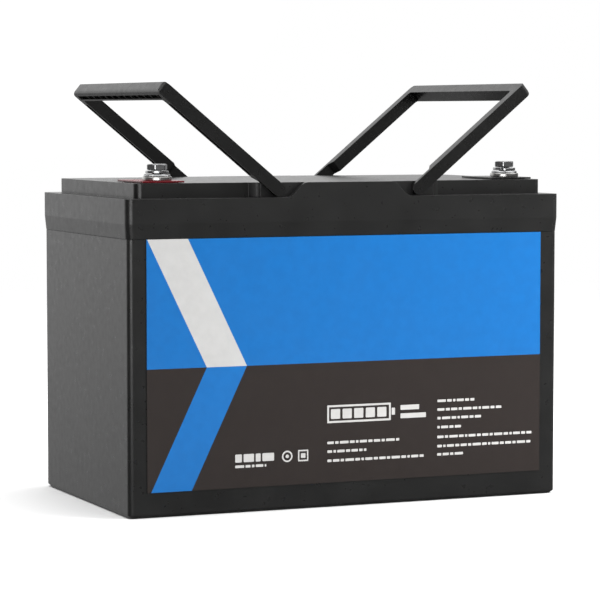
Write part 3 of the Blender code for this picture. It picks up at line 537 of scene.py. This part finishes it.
def stamp(bm, y, left, right, low, high, soft=0.25):
    """A solid printed bar with clipped corners, in millimetres."""
    points = [(left + soft, low), (left, low + soft), (left, high - soft), (left + soft, high),
              (right - soft, high), (right, high - soft), (right, low + soft), (right - soft, low)]
    polygon(bm, [(x * MM, z * MM) for x, z in points], y, 0)


def frame_bars(bm, y, left, right, low, high, stroke):
    """A printed outline made of four bars."""
    stamp(bm, y, left, right, low, low + stroke)
    stamp(bm, y, left, right, high - stroke, high)
    stamp(bm, y, left, left + stroke, low + stroke, high - stroke, 0.0)
    stamp(bm, y, right - stroke, right, low + stroke, high - stroke, 0.0)


def ring_print(bm, y, x, z, outer, inner, steps=40):
    """A printed ring, or a dot where `inner` is nothing."""
    for step in range(steps):
        here, following = (math.tau * index / steps for index in (step, step + 1))
        points = [(x + radius * math.cos(angle), z + radius * math.sin(angle))
                  for radius, angle in ((inner, here), (inner, following), (outer, following), (outer, here))]
        polygon(bm, [(px * MM, pz * MM) for px, pz in points], y, 0)


def small_row(bm, y, left, right, middle, first_word):
    """A row of plain bars the lengths of words, in place of small print."""
    at, number = left, first_word
    while at < right - 0.8:
        end = min(at + WORD_LENGTHS_MM[number % len(WORD_LENGTHS_MM)], right)
        stamp(bm, y, at, end, middle - LINE_HEIGHT_MM / 2, middle + LINE_HEIGHT_MM / 2)
        at = end + WORD_GAP_MM
        number += 1


def print_label(y, node):
    """Generic print in light ink: a charge gauge, plain bars for the text, and two plain signs."""
    bm = bmesh.new()
    frame_bars(bm, y, -16.0, 29.6, 54.9, 66.5, 1.3)
    stamp(bm, y, 30.2, 32.6, 58.4, 63.0)
    for bar in range(5):
        left = -13.4 + 8.3 * bar
        stamp(bm, y, left, left + 6.6, 57.5, 63.9, 0.4)
    for right, middle in ((50.2, 62.9), (55.2, 57.4)):
        stamp(bm, y, 36.6, right, middle - 1.6, middle + 1.6, 0.3)
    for left, right in ((-80.4, -75.8), (-74.6, -67.4), (-66.2, -62.8), (-61.6, -53.4)):
        stamp(bm, y, left, right, 32.4, 37.6, 0.4)
    ring_print(bm, y, -44.2, 34.7, 3.7, 2.7)
    ring_print(bm, y, -44.2, 34.7, 1.2, 0.0)
    frame_bars(bm, y, -36.6, -29.4, 31.0, 38.4, 0.9)
    stamp(bm, y, -34.6, -31.4, 33.2, 36.2)
    for index, (left, right, middle) in enumerate(SMALL_ROWS):
        small_row(bm, y, left, right, middle, 3 * index)
    bmesh.ops.dissolve_degenerate(bm, dist=1e-7, edges=bm.edges)
    add_piece("label_print", mesh_from("label_print", bm, smooth=False), node, [LABEL_INK], replaces=False)


def make_weld_seam():
    """The thin bead where the cover is heat-welded to the case, just inside their faces."""
    low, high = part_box("case")
    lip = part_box("cover")[0].z
    shoulder = lip - SEAM_GAP
    bm = bmesh.new()
    outer = rounded_plan(low.x + SEAM_INSET, low.y + SEAM_INSET, high.x - SEAM_INSET, high.y - SEAM_INSET)
    inner = rounded_plan(low.x + SEAM_DEPTH, low.y + SEAM_DEPTH, high.x - SEAM_DEPTH, high.y - SEAM_DEPTH)
    rings = [[bm.verts.new((x, y, z)) for x, y in plan]
             for plan, z in ((inner, shoulder), (outer, shoulder), (outer, lip), (inner, lip))]
    for ring, following in zip(rings, rings[1:] + rings[:1]):
        for i in range(len(ring)):
            bm.faces.new((ring[i - 1], ring[i], following[i], following[i - 1]))
    add_piece("weld_seam", mesh_from("weld_seam", bm), "case", replaces=False)


def rounded_plan(x0, y0, x1, y1, steps=6):
    """Points round a rectangle with the case's rounded corners."""
    points = []
    for cx, cy, start in ((x1, y1, 0.0), (x0, y1, 90.0), (x0, y0, 180.0), (x1, y0, 270.0)):
        middle_x = cx - math.copysign(SEAM_CORNER, cx)
        middle_y = cy - math.copysign(SEAM_CORNER, cy)
        for step in range(steps + 1):
            angle = math.radians(start + 90.0 * step / steps)
            points.append((middle_x + SEAM_CORNER * math.cos(angle), middle_y + SEAM_CORNER * math.sin(angle)))
    return points


def make_case_pieces():
    rounded_copy("case", "case_shell", 0.0006)
    rounded_copy("cover", "cover_shell", 0.0006)
    for side in ("left", "right"):
        rounded_copy("handle_" + side, "carry_handle_" + side, 0.00035)
    for sign in ("positive", "negative"):
        rounded_copy("terminal_pad_" + sign, "pad_" + sign, 0.0002)


# ---------------------------------------------------------------- studio

def make_camera():
    data = bpy.data.cameras.new("camera")
    data.lens = CAMERA_LENS
    data.sensor_width = SENSOR
    camera = bpy.data.objects.new("camera", data)
    bpy.context.scene.collection.objects.link(camera)
    camera.location = CAMERA_AT
    camera.rotation_euler = (math.radians(90.0 + CAMERA_PITCH), 0.0, math.radians(CAMERA_YAW))
    bpy.context.scene.camera = camera


def make_floor():
    bm = bmesh.new()
    bmesh.ops.create_circle(bm, cap_ends=True, segments=96, radius=FLOOR_RADIUS)
    bmesh.ops.translate(bm, vec=(0.0, 0.0, -0.0002), verts=bm.verts)
    floor = bpy.data.objects.new("floor", mesh_from("floor", bm))
    bpy.context.scene.collection.objects.link(floor)
    mat, tree, shader = new_material("pale_floor", FLOOR_COLOUR, 0.9, Specular_IOR_Level=0.1)
    tint(tree, shader, noise(tree, 1.5, 2.0), scaled(FLOOR_COLOUR, 0.98), scaled(FLOOR_COLOUR, 1.02))
    distance = tree.nodes.new("ShaderNodeVectorMath")
    distance.operation = "LENGTH"
    tree.links.new(coordinates(tree), distance.inputs[0])
    fade = tree.nodes.new("ShaderNodeMapRange")
    fade.interpolation_type = "SMOOTHSTEP"
    fade.inputs["From Min"].default_value = FADE_FROM
    fade.inputs["From Max"].default_value = FLOOR_RADIUS
    tree.links.new(distance.outputs["Value"], fade.inputs["Value"])
    mix = tree.nodes.new("ShaderNodeMixShader")
    tree.links.new(fade.outputs["Result"], mix.inputs["Fac"])
    tree.links.new(shader.outputs["BSDF"], mix.inputs[1])
    tree.links.new(tree.nodes.new("ShaderNodeBsdfTransparent").outputs["BSDF"], mix.inputs[2])
    tree.links.new(mix.outputs["Shader"], tree.nodes["Material Output"].inputs["Surface"])
    floor.data.materials.append(mat)
    floor.visible_glossy = False


def area_light(name, at, towards, size, radiance, fills=True, mirrored=True):
    """A softbox the camera doesn't see. It can light the object softly, be mirrored in its gloss, or both."""
    data = bpy.data.lights.new(name, "AREA")
    data.shape = "RECTANGLE"
    data.size, data.size_y = size
    data.energy = radiance * math.pi * size[0] * size[1]
    light = bpy.data.objects.new(name, data)
    bpy.context.scene.collection.objects.link(light)
    light.location = at
    light.rotation_euler = (Vector(towards) - Vector(at)).to_track_quat("-Z", "Y").to_euler()
    light.visible_camera = False
    light.visible_diffuse = fills
    light.visible_glossy = mirrored


def sun_light(name, strength, spread_angle):
    """A broad, even light from above that keeps the floor white."""
    data = bpy.data.lights.new(name, "SUN")
    data.energy = strength
    data.angle = math.radians(spread_angle)
    light = bpy.data.objects.new(name, data)
    bpy.context.scene.collection.objects.link(light)
    light.visible_glossy = False


def ramp_between(tree, source, start, end, low, high):
    node = tree.nodes.new("ShaderNodeMapRange")
    node.interpolation_type = "SMOOTHSTEP"
    for socket, value in (("From Min", start), ("From Max", end), ("To Min", low), ("To Max", high)):
        node.inputs[socket].default_value = value
    tree.links.new(source, node.inputs["Value"])
    return node.outputs["Result"]


def combined(tree, operation, first, second):
    node = tree.nodes.new("ShaderNodeMath")
    node.operation = operation
    tree.links.new(first, node.inputs[0])
    tree.links.new(second, node.inputs[1])
    return node.outputs["Value"]


def make_world():
    """A studio that is bright behind the object, dim on the camera's side and darker towards the floor."""
    world = bpy.data.worlds.new("studio")
    bpy.context.scene.world = world
    world.use_nodes = True
    tree = world.node_tree
    place = tree.nodes.new("ShaderNodeTexCoord")
    parts = tree.nodes.new("ShaderNodeSeparateXYZ")
    tree.links.new(place.outputs["Generated"], parts.inputs["Vector"])
    back = ramp_between(tree, parts.outputs["Y"], 0.35, 0.90, WALL_FRONT, WALL_BACK)
    side = ramp_between(tree, parts.outputs["X"], -0.2, 0.6, 0.0, WALL_RIGHT)
    height = ramp_between(tree, parts.outputs["Z"], -0.25, 0.05, FOOT_SHARE, 1.0)
    far_right = ramp_between(tree, parts.outputs["X"], 0.30, 0.65, 1.0, FAR_RIGHT_SHARE)
    shares = combined(tree, "MULTIPLY", height, far_right)
    walls = combined(tree, "MULTIPLY", combined(tree, "MAXIMUM", back, side), shares)
    seen = tree.nodes.new("ShaderNodeLightPath")
    background = tree.nodes["Background"]
    background.inputs["Color"].default_value = (1.0, 1.0, 1.0, 1.0)
    tree.links.new(combined(tree, "MAXIMUM", seen.outputs["Is Camera Ray"], walls), background.inputs["Strength"])


def make_lights():
    area_light("overhead", (0.40, -0.1, 1.9), (0.0, 0.0, 0.1), (2.0, 4.6), 2.15)
    area_light("key_right", (0.75, -0.60, 0.40), (0.05, 0.0, 0.10), (0.5, 0.5), 12.0, mirrored=False)
    area_light("strip_front", (-0.55, -1.00, 0.21), (-0.05, -0.13, 0.21), (0.80, 0.40), 3.6, fills=False)
    sun_light("floor_sun", 2.2, 60.0)


make_camera()
for node, item in frame["nodes"].items():
    for place in item.material_slots:
        place.material = MATERIALS[slot_of[node]]
make_case_pieces()
for sign, side in (("positive", -1), ("negative", 1)):
    make_post(sign)
    make_flat_washer(sign)
    make_spring_washer(sign, side)
    make_bolt(sign)
make_label()
make_weld_seam()
make_floor()
make_world()
make_lights()
bpy.context.scene.view_settings.view_transform = "Standard"
